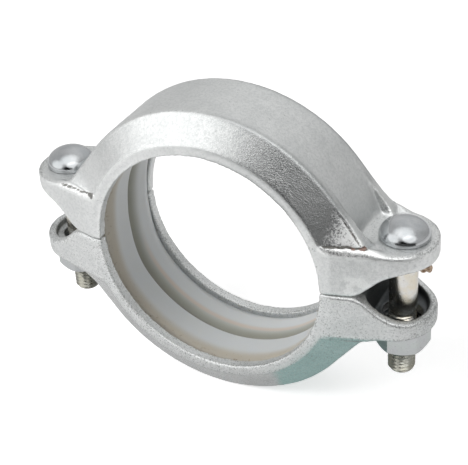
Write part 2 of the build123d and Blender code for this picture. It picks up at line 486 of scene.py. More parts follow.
class CouplingBoltSettings(bpy.types.PropertyGroup):
    shank_radius: length("Shank radius", "Radius of the shank", 6.35 * MM)
    head_rim: length("Head rim", "Height of the head's upright rim", 1.2 * MM)
    head_fullness: FloatProperty(name="Head fullness", default=1.0, min=0.5,
                                 description="1 for an oval dome, more for a pointed one")
    head_edge: length("Head edge", "Bevel under the head", 0.35 * MM)
    neck_half: length("Neck", "Half length of the oval neck", 8.25 * MM)
    neck_depth: length("Neck depth", "Depth of the oval neck under the head", 4.2 * MM)
    pitch: length("Pitch", "Distance between threads", 25.4 / 13 * MM)
    thread_depth: length("Thread depth", "Depth of the thread", 1.1 * MM)
    thread_length: length("Thread length", "Threaded length from the tip", 34 * MM)
    zinc: tint("Bright zinc", "Colour of the plated heads and nuts", (0.50, 0.51, 0.52))
    shank: tint("Shank", "Colour of the plated shanks", (0.67, 0.66, 0.635))
    passivation: tint("Yellow cast", "Colour of the shank's yellowish tinge", (0.66, 0.60, 0.48))
    # Painted shade of the thread's grooves towards the tip
    tip_shade: tint("Tip", "Colour of the oily thread at the tip", (0.26, 0.26, 0.22))


class CouplingStageSettings(bpy.types.PropertyGroup):
    azimuth: turn("Azimuth", "Camera's angle round the coupling", 28.74)
    elevation: turn("Elevation", "Camera's angle above the floor", 33.03)
    roll: turn("Roll", "Camera's turn about its own axis", -3.64)
    distance: length("Distance", "Camera's distance from the bore's centre", 564.55 * MM)
    aside: length("Aside", "Camera's offset to its right", 1.62 * MM)
    above: length("Above", "Camera's offset upwards", 2.23 * MM)
    lens: FloatProperty(name="Lens", description="Focal length in millimetres", default=93.38)
    floor: tint("Floor", "Colour of the floor", (0.86, 0.86, 0.86))
    card: tint("Card", "Colour of the card that the metal shows on the right", (0.33, 0.47, 0.455))


# Castings

def fine_copy(node, name, voxel):
    # The solid housing as one evenly meshed skin
    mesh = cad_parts[node].data.copy()
    bm = bmesh.new()
    bm.from_mesh(mesh)
    bmesh.ops.remove_doubles(bm, verts=bm.verts, dist=0.002 * MM)
    bm.to_mesh(mesh)
    bm.free()
    return one_skin(new_object(name + "_solid", mesh), name, voxel)


def shoulder_share(points, normals):
    # 1 on the sloped shoulders beside the crown and the legs, 0 elsewhere
    along = np.abs(normals[:, 1])
    radius = np.hypot(points[:, 0], points[:, 2])
    outward = (points[:, 0] * normals[:, 0] + points[:, 2] * normals[:, 2]) / radius
    sloped = step_between(along, 0.60, 0.75) * (1 - step_between(along, 0.90, 0.97))
    return sloped * (outward > 0.2) * (np.abs(points[:, 2]) > seat_z)


def inside_border(x, y):
    # How far a place on a pad lies inside the pad's slanted edge
    return (BORDER_START[0] - x) * BORDER_NORMAL[0] + (BORDER_START[1] - y) * BORDER_NORMAL[1]


def foot_ramp(points):
    # 1 at the foot of a shoulder and 0 at the pad's edge in front of it, and 0 past the shoulder's end
    x, y = np.abs(points[:, 0]), np.abs(points[:, 1])
    from_foot = (x - FOOT_START[0]) * FOOT_NORMAL[0] + (y - FOOT_START[1]) * FOOT_NORMAL[1]
    from_edge = inside_border(x, y)
    share = from_edge / np.maximum(from_edge + np.maximum(from_foot, 0), 0.01 * MM)
    in_front = (from_edge > 0) & (from_foot > -FOOT_BEHIND)
    in_front = in_front & (x > FOOT_START[0] - 1 * MM) & (y > crown_half - 1 * MM)
    rounded_share = np.sqrt(np.clip(1 - (1 - share) ** 2, 0, 1))
    return rounded_share * in_front * (1 - step_between(x, *FOOT_END))


def flare(points, normals, edges, height, settings):
    # The points with the shoulders flared out above the pads, less so at the pipe's faces
    shoulder = blurred(shoulder_share(points, normals), edges, 4)
    across = np.clip((face_half - np.abs(points[:, 1])) / (face_half - crown_half), 0, 1)
    cove_height = settings.cove_height * (COVE_AT_FACE + (1 - COVE_AT_FACE) * across)
    cove = np.clip(1 - height / cove_height, 0, 1) ** COVE_FADE * across ** COVE_FACE_FADE * (height > 0)
    return points + normals * cove[:, None] * shoulder[:, None] * settings.cove_depth


def dip_floor(points, radius, height, floor_dip):
    # Lowers the floor between the ribs, most at its foot and less behind
    dip = step_between(FLOOR_TOP - np.abs(points[:, 2]), 0, FLOOR_TOP - seat_z) * floor_dip
    dip = dip * (1 - DIP_LOST_BEHIND * step_between(points[:, 1], 0, rib_inside))
    on_floor = (np.abs(points[:, 1]) < rib_inside) & (radius > crown_radius - 2 * MM)
    on_floor = on_floor & (height > 0.3 * MM) & (np.abs(points[:, 0]) < crown_radius)
    inward = points[:, [0, 2]] / radius[:, None] * (dip * on_floor)[:, None]
    points[:, 0] -= inward[:, 0]
    points[:, 2] -= inward[:, 1]


def raise_feet(points, height, bead_height):
    # Lifts the pads towards the shoulders' feet, where the zinc ran in
    on_ramp = (height > -0.3 * MM) & (height < bead_height)
    wanted = foot_ramp(points) * bead_height
    lift = np.where(on_ramp, np.maximum(wanted - np.maximum(height, 0), 0), 0)
    points[:, 2] += lift * np.sign(points[:, 2])


def inner_corners(points, radius, height):
    # True along the feet of the shoulders and of the floor between the ribs
    beside = np.abs(points[:, 1]) > crown_half
    inner_foot = (radius > crown_radius - 6 * MM) & (height < 5 * MM)
    inner_foot = inner_foot & (np.abs(points[:, 1]) < rib_inside + 1 * MM)
    return (height > -1 * MM) & (beside | inner_foot)


def foot_crease(points, height, wander, width):
    # Along the right shoulder's foot, beside the crown and outside the key ring
    from_middle = np.hypot(points[:, 0], points[:, 2])
    shoulder = step_between(np.abs(points[:, 1]), crown_half + 0.3 * MM, crown_half + 1.2 * MM)
    shoulder = shoulder * step_between(from_middle, key_outer_radius + 1 * MM, key_outer_radius + 2.5 * MM)
    line = np.exp(-((height - FOOT_CREASE_HEIGHT - wander * 0.6 * MM) / width) ** 2)
    return line * shoulder * (points[:, 0] > 0)


def crest_crease(points, height, wander, settings):
    # Along the right crest above the foot, which the flare pushes outwards
    x, y = points[:, 0], np.abs(points[:, 1])
    flared = np.clip(1 - height / settings.cove_height, 0, 1) ** COVE_FADE * settings.cove_depth
    crest_y = crown_half + 0.8 * MM + wander * 0.3 * MM + 0.8 * flared
    line = np.exp(-((y - crest_y) / (0.8 * settings.crack_width)) ** 2) * (x > 0)
    line = line * step_between(height, *CREST_CREASE_BEGIN) * (1 - step_between(height, *CREST_CREASE_END))
    return line * (np.abs(x) < crown_radius + 6 * MM)


def pad_crease(points, height, wander, width):
    # Just inside the left pad's edge, thinner in its middle
    x = np.abs(points[:, 0])
    off_line = inside_border(x, np.abs(points[:, 1])) - PAD_CREASE_INSET - wander * 0.25 * MM
    line = np.exp(-(off_line / (1.2 * width)) ** 2) * (points[:, 0] < 0)
    line = line * step_between(x, *PAD_CREASE_BEGIN) * (1 - step_between(x, *PAD_CREASE_END))
    line = line * step_between(height, -0.4 * MM, 0.1 * MM) * (height < 3 * MM)
    thick = 1 - step_between(x, *PAD_CREASE_THINS) + step_between(x, *PAD_CREASE_THICKENS)
    return line * (PAD_CREASE_LEAST + (1 - PAD_CREASE_LEAST) * thick)


def creases(points, height, settings):
    # 1 in the creases of the upper casting's front, broken up here and there, and 0 elsewhere
    upper_front = (points[:, 2] > 0) & (points[:, 1] < 0)
    wander = lump_noise(points, 3 * MM)
    foot = foot_crease(points, height, wander, settings.crack_width)
    crest = crest_crease(points, height, wander, settings)
    pad = pad_crease(points, height, wander, settings.crack_width)
    crumbs = step_between(lump_noise(points, 0.9 * MM), -0.65, -0.15)
    rough = step_between(lump_noise(points, 2.2 * MM), -0.75, -0.35)
    return np.maximum(np.maximum(foot, 0.8 * crest) * rough, pad * crumbs) * upper_front


def bead_share(points, height, bead_height):
    # 1 on the zinc that ran in at the feet of the upper casting's front
    low = (height > -0.3 * MM) & (height < bead_height + 0.4 * MM) & (points[:, 2] > 0)
    return np.clip(3 * foot_ramp(points), 0, 1) * low * (points[:, 1] < 0)


def pocket_share(points, height):
    # True inside the cored pockets of the lugs
    x = np.abs(points[:, 0])
    from_bolt = np.hypot(np.maximum(x - lug_centre_x, 0), points[:, 1])
    return (from_bolt < lug_tip_radius - POCKET_INSET) & (x > crown_radius - 4 * MM) & (height < -4 * MM)


def casting_masks(points, normals, edges, settings):
    # Where the material finds the shoulders, creases, outer edges, pockets and the zinc at the feet
    height = np.abs(points[:, 2]) - seat_z
    bulge = smooth_positions(points, edges, 0.5, 4) - points
    convex = np.clip(-(bulge * normals).sum(1) / (0.12 * settings.voxel), 0, 1)
    return {
        "shoulder": blurred(shoulder_share(points, normals), edges, 4),
        "crack": creases(points, height, settings),
        "edge": blurred(convex, edges, 2),
        "pocket": blurred(pocket_share(points, height), edges, 3),
        "bead": blurred(bead_share(points, height, settings.bead_height), edges, 2),
    }


def casting(node, name, settings):
    # The housing with softened edges, filled corners, creases at the shoulders' feet and cast grain
    obj = fine_copy(node, name, settings.voxel)
    mesh = obj.data
    points, normals, edges = mesh_arrays(mesh)
    height = np.abs(points[:, 2]) - seat_z
    points = flare(points, normals, edges, height, settings)
    radius = np.hypot(points[:, 0], points[:, 2])
    dip_floor(points, radius, height, settings.floor_dip)
    raise_feet(points, height, settings.bead_height)
    corner = blurred(inner_corners(points, radius, height), edges, 6)
    points = smooth_positions(points, edges, 0.5 * corner[:, None], settings.fillet_steps, normals)
    points = smooth_positions(points, edges, 0.5, settings.smooth_steps)
    set_points(mesh, points)

    points, normals, edges = mesh_arrays(mesh)
    masks = casting_masks(points, normals, edges, settings)
    for title, values in masks.items():
        attribute = mesh.attributes.new(title, "FLOAT", "POINT")
        attribute.data.foreach_set("value", values.astype(np.float32))
    size = settings.grain_size
    lumps = (lump_noise(points, size) + 0.6 * lump_noise(points, size / 2)
             + 1.2 * lump_noise(points, size * 4)) * settings.grain_height
    lumps = lumps * (1 - 0.85 * masks["shoulder"]) - masks["crack"] * settings.crack_depth
    set_points(mesh, points + normals * lumps[:, None])
    return obj


def galvanised(settings):
    material, tree, surface = new_material("Galvanised casting")
    where = coordinates(tree)
    place = axes(tree, where)
    shoulder, crack, edge = (mask(tree, name) for name in ("shoulder", "crack", "edge"))
    pocket, bead = (mask(tree, name) for name in ("pocket", "bead"))
    below = ramp(tree, place["Z"], 2 * MM, -4 * MM)
    right = ramp(tree, place["X"], -20 * MM, 20 * MM)
    tips = ramp(tree, maths(tree, "ABSOLUTE", place["X"]), 84 * MM, 99 * MM)
    crest = times(tree, ramp(tree, place["Z"], 30 * MM, 40 * MM), right)
    clouds = ramp(tree, grain(tree, where, 11 * MM, 3), 0.38, 0.68)
    mottle = ramp(tree, grain(tree, where, 1.3 * MM, 4, 0.75), 0.42, 0.62)
    dust = grain(tree, where, 0.6 * MM, 3, 0.7)

    # Dark specks, thickest on the lower casting, along its edges, at the lugs' tips and on the pads
    on_pad = times(tree, ramp(tree, place["Z"], seat_z - 1 * MM, seat_z - 0.3 * MM),
                   ramp(tree, place["Z"], seat_z + 1.5 * MM, seat_z + 0.5 * MM))
    busy = scaled(tree, below, 0.07, times(tree, edge, 0.08))
    busy = scaled(tree, times(tree, tips, clouds), 0.08, busy)
    busy = scaled(tree, on_pad, 0.06, busy)
    busy = scaled(tree, bead, -0.3, busy)
    specks = ramp(tree, maths(tree, "ADD", dust, busy), 0.65, 0.72)

    # White runs with a painted highlight, frost, a painted highlight on the back rib's wall, painted shade on
    # the low floor between the ribs, and rust and dirt in the creases, whose dark also paints their shade
    near_runs_and_highlight = near_place(tree, where, *WHITE_RUNS_AND_HIGHLIGHT)
    runs_and_highlight = scaled(tree, grain(tree, where, 1.1 * MM, 2, 0.7), 3.0, maths(tree, "ADD", near_runs_and_highlight, -1.5))
    runs_and_highlight = times(tree, ramp(tree, runs_and_highlight, 0.35, 0.90), times(tree, shoulder, near_runs_and_highlight))
    frost = times(tree, near_place(tree, where, *FROST),
                  ramp(tree, grain(tree, where, 4 * MM, 3), 0.40, 0.50))
    # Painted highlight on the back rib's inner wall, paler and less metallic
    wall = near_place(tree, where, *RIB_WALL_HIGHLIGHT)
    # Painted shade low on the floor between the ribs, near its foot, on the right
    low_floor_shade = times(tree, ramp(tree, place["Z"], 48 * MM, 30 * MM),
                      ramp(tree, place["Z"], seat_z + 1.5 * MM, seat_z + 4 * MM))
    between_ribs = ramp(tree, maths(tree, "ABSOLUTE", place["Y"]), 14 * MM, 11 * MM)
    low_floor_shade = times(tree, low_floor_shade, between_ribs)
    # Dark dirt in the creases, which also paints their shade, with rust near the right corner
    crumbs = ramp(tree, times(tree, crack, scaled(tree, dust, 1.4, 0.2)), 0.35, 0.6)
    rusty = times(tree, ramp(tree, grain(tree, where, 2.5 * MM, 2), 0.42, 0.54),
                  near_place(tree, where, *RUST))
    stain = blend_colours(tree, rusty, CREASE_DIRT_AND_SHADE, settings.rust)

    base = settings.zinc
    for share, tone in (
        (times(tree, clouds, 0.20), settings.dull_zinc),
        (times(tree, mottle, 0.36), settings.dull_zinc),
        (times(tree, edge, scaled(tree, crest, -0.40, 0.45)), EDGE_ZINC),
        (times(tree, times(tree, edge, crest), 0.85), WORN_GREY),
        (times(tree, tips, times(tree, below, 0.4)), settings.dull_zinc),
        (times(tree, specks, 0.72), settings.dross),
        # White runs on the right shoulder, partly a painted highlight
        (times(tree, runs_and_highlight, 0.8), RUN_AND_HIGHLIGHT_WHITE),
        (times(tree, wall, 0.5), WALL_HIGHLIGHT_ZINC),
        # Painted highlight on the bead of zinc at the feet
        (times(tree, bead, scaled(tree, mottle, -0.45, 0.85)), RUN_AND_HIGHLIGHT_WHITE),
        (times(tree, frost, 0.55), FROST_WHITE),
        (times(tree, low_floor_shade, times(tree, right, 0.5)), settings.dull_zinc),
        (times(tree, crumbs, scaled(tree, right, 0.07, 0.85)), stain),
        (times(tree, pocket, scaled(tree, right, 0.72, 0.16)), POCKET_SHADE),
    ):
        base = blend_colours(tree, share, base, tone)
    tree.links.new(base, surface.inputs["Base Color"])
    # Less metallic on the runs and on the back rib's wall, where highlights are painted
    metal = scaled(tree, wall, -0.45, scaled(tree, runs_and_highlight, -0.75, 0.9))
    tree.links.new(metal, surface.inputs["Metallic"])
    matt = scaled(tree, specks, 0.15, 0.40)
    matt = scaled(tree, mottle, 0.06, matt)
    matt = scaled(tree, edge, -0.10, matt)
    tree.links.new(scaled(tree, shoulder, -0.21, matt), surface.inputs["Roughness"])

    pebbles = ramp(tree, grain(tree, where, settings.pebble_size, 2, 0.6), 0.44, 0.72)
    pebbles = times(tree, pebbles, scaled(tree, near_runs_and_highlight, 0.35, 0.50))
    pebbles = bump(tree, times(tree, pebbles, shoulder), settings.pebble_height)
    sand = times(tree, grain(tree, where, 0.55 * MM, 2, 0.6), scaled(tree, shoulder, -0.6, 1))
    tree.links.new(bump(tree, sand, 0.18 * MM, 1.0, pebbles), surface.inputs["Normal"])
    return material


def stained_drip():
    material, tree, surface = new_material("Stained zinc drip")
    where = coordinates(tree)
    patches = ramp(tree, grain(tree, where, 1.6 * MM, 3), 0.40, 0.62)
    tree.links.new(blend_colours(tree, patches, DRIP_ZINC, DRIP_STAIN), surface.inputs["Base Color"])
    surface.inputs["Metallic"].default_value = 0.3
    tree.links.new(scaled(tree, patches, 0.2, 0.45), surface.inputs["Roughness"])
    tree.links.new(bump(tree, grain(tree, where, 0.5 * MM, 2), 0.1 * MM), surface.inputs["Normal"])
    return material


def drip():
    # Three merged lumps of zinc that ran down and froze under the lug's lip
    bm = bmesh.new()
    for place, size in DRIP_LUMPS:
        ball = Matrix.Translation(place) @ Matrix.Diagonal((size, size * 0.8, size, 1))
        bmesh.ops.create_icosphere(bm, subdivisions=3, radius=1, matrix=ball)
    obj = one_skin(new_object("drip_lumps", mesh_of(bm, "drip")), "zinc_drip", 0.25 * MM)
    points, normals = mesh_arrays(obj.data)[:2]
    set_points(obj.data, points + normals * (lump_noise(points, 1.1 * MM) * 0.35 * MM)[:, None])
    return obj


class CouplingCastings(bpy.types.Operator):
    """Builds the upper and lower half housings"""
    bl_idname = "coupling.castings"
    bl_label = "Half housings"

    def execute(self, context):
        settings = context.scene.coupling_casting
        material = galvanised(settings)
        for node, name, body in (("housing_upper", "casting_upper", "upper_half"),
                                 ("housing_lower", "casting_lower", "lower_half")):
            obj = casting(node, name, settings)
            use_material(obj, material)
            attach(obj, body)
            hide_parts(node)
        obj = drip()
        use_material(obj, stained_drip())
        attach(obj, "upper_half")
        return {"FINISHED"}


# Sealing ring

def silicone(settings):
    material, tree, surface = new_material("White silicone")
    where = coordinates(tree)
    place = axes(tree, where)
    along = place["Y"]
    crest = ring_half - settings.bevel_width
    gap = settings.lip_gap / 2
    clouds = grain(tree, where, 14 * MM, 3)
    spots = ramp(tree, grain(tree, where, 1.6 * MM, 3, 0.6), 0.58, 0.70)
    base = blend_colours(tree, times(tree, clouds, 0.25), settings.rubber, CLOUDED_RUBBER)
    # Painted shade: the back lip is darkest at the gap and lighter away from it
    behind = times(tree, ramp(tree, along, -gap, gap), ramp(tree, along, 10 * MM, 2 * MM))
    base = blend_colours(tree, behind, base, settings.back)
    # Painted glow: a warm band of light through the thin back lip, only on the lower part of the ring
    thin_edge_glow = times(tree, ramp(tree, along, gap + 5 * MM, gap + 6.5 * MM),
                 ramp(tree, along, gap + 9 * MM, gap + 7 * MM))
    low = ramp(tree, place["Z"], -10 * MM, -40 * MM)
    base = blend_colours(tree, times(tree, thin_edge_glow, times(tree, low, 0.45)), base, settings.glow)
    bevel = ramp(tree, along, -(crest - 5 * MM), -(crest + 0.5 * MM))
    outer = ramp(tree, along, -(crest + 0.3 * MM), -(crest + 1.5 * MM))
    outer = scaled(tree, outer, 0.5, 0.3)
    stained = blend_colours(tree, times(tree, spots, outer), settings.bevel, settings.stain)
    base = blend_colours(tree, bevel, base, stained)
    tree.links.new(base, surface.inputs["Base Color"])
    surface.inputs["Roughness"].default_value = 0.42
    surface.inputs["Subsurface Weight"].default_value = 1.0
    surface.inputs["Subsurface Radius"].default_value = (1.0, 0.92, 0.8)
    surface.inputs["Subsurface Scale"].default_value = 5 * MM
    tree.links.new(bump(tree, grain(tree, where, 3 * MM, 2), 0.05 * MM), surface.inputs["Normal"])
    return material


def half_outline(settings, end_depth, end_width):
    # One half of the ring's section as (radius, place along the pipe, rounding), from the web to the web;
    # the lip's end slopes into the gap by this depth over this width
    crest = ring_half - settings.bevel_width
    gap = settings.lip_gap / 2
    edge = settings.lip_radius + settings.lip_fall
    back = edge + settings.lip_thickness
    corner = settings.corner
    return [
        (ring_radius, WEB_HALF_OUTSIDE, corner),
        (SIDE_OUTSIDE, ring_half, corner),
        (SIDE_INSIDE, ring_half, corner),
        (settings.lip_radius, crest, CREST_ROUND),
        (edge, gap + end_width, end_width / 2),
        (edge + end_depth, gap, corner),
        (back, gap, corner),
        (back, crest - LIP_ROOT, corner),
        (ring_radius - settings.web, WEB_HALF_INSIDE, corner),
    ]


def ring_outline(settings):
    # Section of the ring: the web outside, and a lip each side of the gap
    front = half_outline(settings, settings.lip_end_round, settings.lip_end_round)
    return half_outline(settings, settings.slope_depth, settings.slope_width) + [
        (radius, -along, corner) for radius, along, corner in reversed(front)]


def bulge_lips(mesh, settings):
    # The free lips stand a little further into the bore on the left
    points = mesh_arrays(mesh)[0]
    radius = np.hypot(points[:, 0], points[:, 2])
    angle = np.degrees(np.arctan2(np.abs(points[:, 2]), -points[:, 0]))
    inner = step_between(ring_radius - settings.web - radius, 0, 4 * MM)
    inward = settings.bulge * inner * (1 - step_between(angle, 4, 34)) / radius
    points[:, 0] -= points[:, 0] * inward
    points[:, 2] -= points[:, 2] * inward
    set_points(mesh, points)


class CouplingRing(bpy.types.Operator):
    """Builds the C-section sealing ring"""
    bl_idname = "coupling.ring"
    bl_label = "Sealing ring"

    def execute(self, context):
        settings = context.scene.coupling_ring
        outline = rounded(ring_outline(settings), 5, closed=True)
        obj = new_object("sealing_ring", lathe(outline, 192, closed=True, along_y=True))
        bulge_lips(obj.data, settings)
        use_material(obj, silicone(settings))
        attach(obj, "lower_half")
        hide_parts("gasket")
        return {"FINISHED"}


# Bolts and nuts

def thread_tree(material):
    # A threaded rod on its own axis: the wall of a cylinder follows a wave that winds round it
    tree = bpy.data.node_groups.new("Rolled thread", "GeometryNodeTree")
    for name in ("Radius", "Length", "Pitch", "Depth", "Run-out", "Tip"):
        tree.interface.new_socket(name, in_out="INPUT", socket_type="NodeSocketFloat")
    tree.interface.new_socket("Geometry", in_out="OUTPUT", socket_type="NodeSocketGeometry")
    given = tree.nodes.new("NodeGroupInput").outputs
    rod = add(tree, "GeometryNodeMeshCylinder", {"fill_type": "NGON"}, Vertices=40, Side_Segments=190,
              Radius=given["Radius"], Depth=given["Length"]).outputs["Mesh"]
    place = axes(tree, tree.nodes.new("GeometryNodeInputPosition").outputs["Position"])
    turns = maths(tree, "DIVIDE", maths(tree, "ARCTAN2", place["Y"], place["X"]), 2 * math.pi)
    climb = maths(tree, "DIVIDE", place["Z"], given["Pitch"])
    phase = maths(tree, "FRACT", maths(tree, "SUBTRACT", climb, turns))
    wave = maths(tree, "ABSOLUTE", scaled(tree, phase, 2.0, -1.0))
    half = times(tree, given["Length"], 0.5)
    to_top = maths(tree, "DIVIDE", maths(tree, "SUBTRACT", half, place["Z"]), given["Run-out"])
    to_tip = maths(tree, "DIVIDE", maths(tree, "ADD", half, place["Z"]), given["Tip"])
    limited = [add(tree, "ShaderNodeClamp", {}, Value=value).outputs[0] for value in (to_top, to_tip)]
    cut = times(tree, times(tree, wave, given["Depth"]), limited[0])
    chamfer = times(tree, maths(tree, "SUBTRACT", 1.0, limited[1]), given["Depth"])
    left = maths(tree, "SUBTRACT", given["Radius"], maths(tree, "MAXIMUM", cut, chamfer))
    size = maths(tree, "DIVIDE", left, given["Radius"])
    moved = add(tree, "ShaderNodeCombineXYZ", {}, X=times(tree, place["X"], size),
                Y=times(tree, place["Y"], size), Z=place["Z"]).outputs[0]
    shaped = add(tree, "GeometryNodeSetPosition", {}, Geometry=rod, Position=moved).outputs["Geometry"]
    real = add(tree, "GeometryNodeRealizeInstances", {}, Geometry=shaped).outputs["Geometry"]
    finished = add(tree, "GeometryNodeSetMaterial", {}, Geometry=real, Material=material).outputs["Geometry"]
    tree.links.new(finished, tree.nodes.new("NodeGroupOutput").inputs["Geometry"])
    return tree


def threaded_rod(tree, values):
    obj = new_object("rod", bpy.data.meshes.new("rod"))
    modifier = obj.modifiers.new("Thread", "NODES")
    modifier.node_group = tree
    for item in tree.interface.items_tree:
        if item.in_out == "INPUT":
            modifier[item.identifier] = values[item.name]
    return plain_copy(obj, "rod")


def plated(name, zinc, passivation, amount, roughness, tip_shade=None):
    material, tree, surface = new_material(name)
    where = coordinates(tree)
    clouds = ramp(tree, grain(tree, where, 6 * MM, 3), 0.35, 0.65)
    base = blend_colours(tree, times(tree, clouds, amount), zinc, passivation)
    marks = ramp(tree, grain(tree, where, 1.2 * MM, 3), 0.6, 0.75)
    base = blend_colours(tree, times(tree, marks, 0.25), base, WORN_GREY)
    if tip_shade:
        # Painted shade: the thread darker towards its tip
        low = ramp(tree, axes(tree, where)["Z"], *(bolt_tip_z + height for height in TIP_SHADE_FROM))
        base = blend_colours(tree, times(tree, low, 0.75), base, tip_shade)
    tree.links.new(base, surface.inputs["Base Color"])
    surface.inputs["Metallic"].default_value = 1.0
    tree.links.new(scaled(tree, marks, 0.12, roughness), surface.inputs["Roughness"])
    tree.links.new(bump(tree, grain(tree, where, 2.2 * MM, 2), 0.10 * MM, 0.5), surface.inputs["Normal"])
    return material


def head_outline(settings):
    # Seat, upright rim and oval dome of the head, as (radius, height above the seat)
    rim = settings.head_rim
    edge = settings.head_edge
    dome = head_top_z - seat_z - rim
    points = [(0, 0, 0), (head_radius - edge, 0, 0), (head_radius, edge, 0), (head_radius, rim, 0)]
    for k in range(1, 25):
        angle = math.pi / 2 * (1 - k / 24)
        rise = dome * math.cos(angle) ** settings.head_fullness
        points.append((head_radius * math.sin(angle), rim + rise, 0))
    return rounded(points, 4, closed=False)


def oval_neck(settings):
    # Slot-shaped collar under the head, which stops the bolt turning in its hole
    bm = bmesh.new()
    radius = settings.shank_radius
    around = []
    for k in range(48):
        angle = 2 * math.pi * k / 48
        shift = math.copysign(settings.neck_half - radius, math.cos(angle))
        around.append((radius * math.cos(angle) + shift, radius * math.sin(angle)))
    loops = [[bm.verts.new((x, y, z)) for x, y in around] for z in (NECK_IN_HEAD, -settings.neck_depth)]
    for k in range(48):
        n = (k + 1) % 48
        bm.faces.new((loops[0][k], loops[0][n], loops[1][n], loops[1][k]))
    for loop in loops:
        bm.faces.new(loop)
    bmesh.ops.recalc_face_normals(bm, faces=bm.faces)
    return mesh_of(bm, "neck")


def bolt(name, side, tree, materials, settings):
    radius, thread = settings.shank_radius, settings.thread_length
    plain = seat_z - bolt_tip_z - thread
    head = lathe(head_outline(settings), 96, False, False)
    wall = [(0, SHANK_IN_HEAD), (radius, SHANK_IN_HEAD), (radius, -plain), (0, -plain)]
    shank = lathe(wall, 72, False, False)
    rod = threaded_rod(tree, {"Radius": radius, "Length": thread, "Pitch": settings.pitch,
                              "Depth": settings.thread_depth, "Run-out": THREAD_RUN_OUT, "Tip": THREAD_TIP})
    rod.data.transform(Matrix.Translation((0, 0, -plain - thread / 2)))
    neck = oval_neck(settings)
    parts = [new_object("part", head), new_object("part", shank), rod, new_object("part", neck)]
    for part, index in zip(parts, (0, 1, 1, 1)):
        use_material(part, *materials)
        part.data.polygons.foreach_set("material_index", [index] * len(part.data.polygons))
    with bpy.context.temp_override(active_object=parts[0], selected_editable_objects=parts,
                                   selected_objects=parts):
        bpy.ops.object.join()
    obj = parts[0]
    obj.name = name
    obj.data.transform(Matrix.Translation((side * bolt_x, 0, seat_z)))
    obj.data.shade_smooth()
    obj.data.set_sharp_from_angle(angle=math.radians(32))
    return obj


class CouplingBolts(bpy.types.Operator):
    """Builds both oval-neck bolts with their threads, and finishes the nuts"""
    bl_idname = "coupling.bolts"
    bl_label = "Bolts and nuts"

    def execute(self, context):
        settings = context.scene.coupling_bolt
        polished = plated("Polished zinc head", settings.zinc, HEAD_CLOUDS, 0.5, 0.13)
        shank = plated("Passivated zinc shank", settings.shank, settings.passivation, 0.8, 0.22, settings.tip_shade)
        tree = thread_tree(shank)
        for side, name, node in ((-1, "track_bolt_left", "bolt_left"), (1, "track_bolt_right", "bolt_right")):
            obj = bolt(name, side, tree, (polished, shank), settings)
            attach(obj, "upper_half")
            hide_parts(node)
        nut = plated("Zinc plated nut", settings.zinc, NUT_CLOUDS, 0.6, 0.26)
        for node in ("nut_left", "nut_right"):
            use_material(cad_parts[node], nut)
        return {"FINISHED"}


# Stage

def towards(azimuth, elevation):
    # Direction from the coupling in radians: azimuth 0 is the front, a quarter turn its right
    return Vector((math.sin(azimuth) * math.cos(elevation), -math.cos(azimuth) * math.cos(elevation),
                   math.sin(elevation)))


def floor_material(settings):
    # Pale floor; the metal also sees the white background in it, and a green card beside the right bolt
    material, tree, surface = new_material("Pale floor")
    where = coordinates(tree)
    place = axes(tree, where)
    rays = tree.nodes.new("ShaderNodeLightPath").outputs
    clouds = grain(tree, where, 200 * MM, 2)
    base = blend_colours(tree, times(tree, clouds, 0.04), settings.floor, (0.8, 0.8, 0.8))
    surface.inputs["Roughness"].default_value = 0.9
    left, right, front, behind = CARD
    card = times(tree, ramp(tree, place["X"], left, left + CARD_EDGE),
                 ramp(tree, place["X"], right, right - 10 * CARD_EDGE))
    card = times(tree, card, ramp(tree, place["Y"], front, front + CARD_EDGE))
    card = times(tree, card, ramp(tree, place["Y"], behind, behind - CARD_EDGE))
    card = times(tree, card, rays["Is Glossy Ray"])
    tree.links.new(blend_colours(tree, card, (1, 1, 1), settings.card), surface.inputs["Emission Color"])

    # How far the floor lies from the coupling's shade, and how bright it is there
    beyond = maths(tree, "SUBTRACT", maths(tree, "ABSOLUTE", place["X"]), SHADE_HALF)
    beyond = maths(tree, "MAXIMUM", beyond, 0.0)
    away = maths(tree, "SQRT", maths(tree, "ADD", maths(tree, "POWER", beyond, 2.0),
                                     maths(tree, "POWER", maths(tree, "ABSOLUTE", place["Y"]), 2.0)))
    kept = scaled(tree, ramp(tree, place["X"], *LEFT_FADE), 0.45, 0.55)
    lit = times(tree, ramp(tree, away, *SHADE_FADE), kept)
    under = times(tree, maths(tree, "SUBTRACT", 1.0, lit), rays["Is Glossy Ray"])
    base = blend_colours(tree, times(tree, under, 0.35), base, (0.35, 0.35, 0.35))
    tree.links.new(blend_colours(tree, card, base, settings.card), surface.inputs["Base Color"])
    glow = scaled(tree, maths(tree, "MAXIMUM", lit, card), 0.8 * FLOOR_GLOW, 0.2 * FLOOR_GLOW)
    strength = times(tree, rays["Is Camera Ray"], FLOOR_TO_CAMERA)
    strength = scaled(tree, rays["Is Glossy Ray"], glow, strength)
    tree.links.new(strength, surface.inputs["Emission Strength"])
    return material


def softbox(name, azimuth, elevation, distance, width, height, power):
    lamp = bpy.data.lights.new(name, "AREA")
    lamp.shape = "RECTANGLE"
    lamp.size, lamp.size_y = width, height
    lamp.energy = power
    obj = bpy.data.objects.new(name, lamp)
    back = towards(math.radians(azimuth), math.radians(elevation))
    obj.location = back * distance
    obj.rotation_mode = "QUATERNION"
    obj.rotation_quaternion = back.to_track_quat("Z", "Y")
    obj.visible_camera = False
    obj.visible_glossy = False
    bpy.context.scene.collection.objects.link(obj)


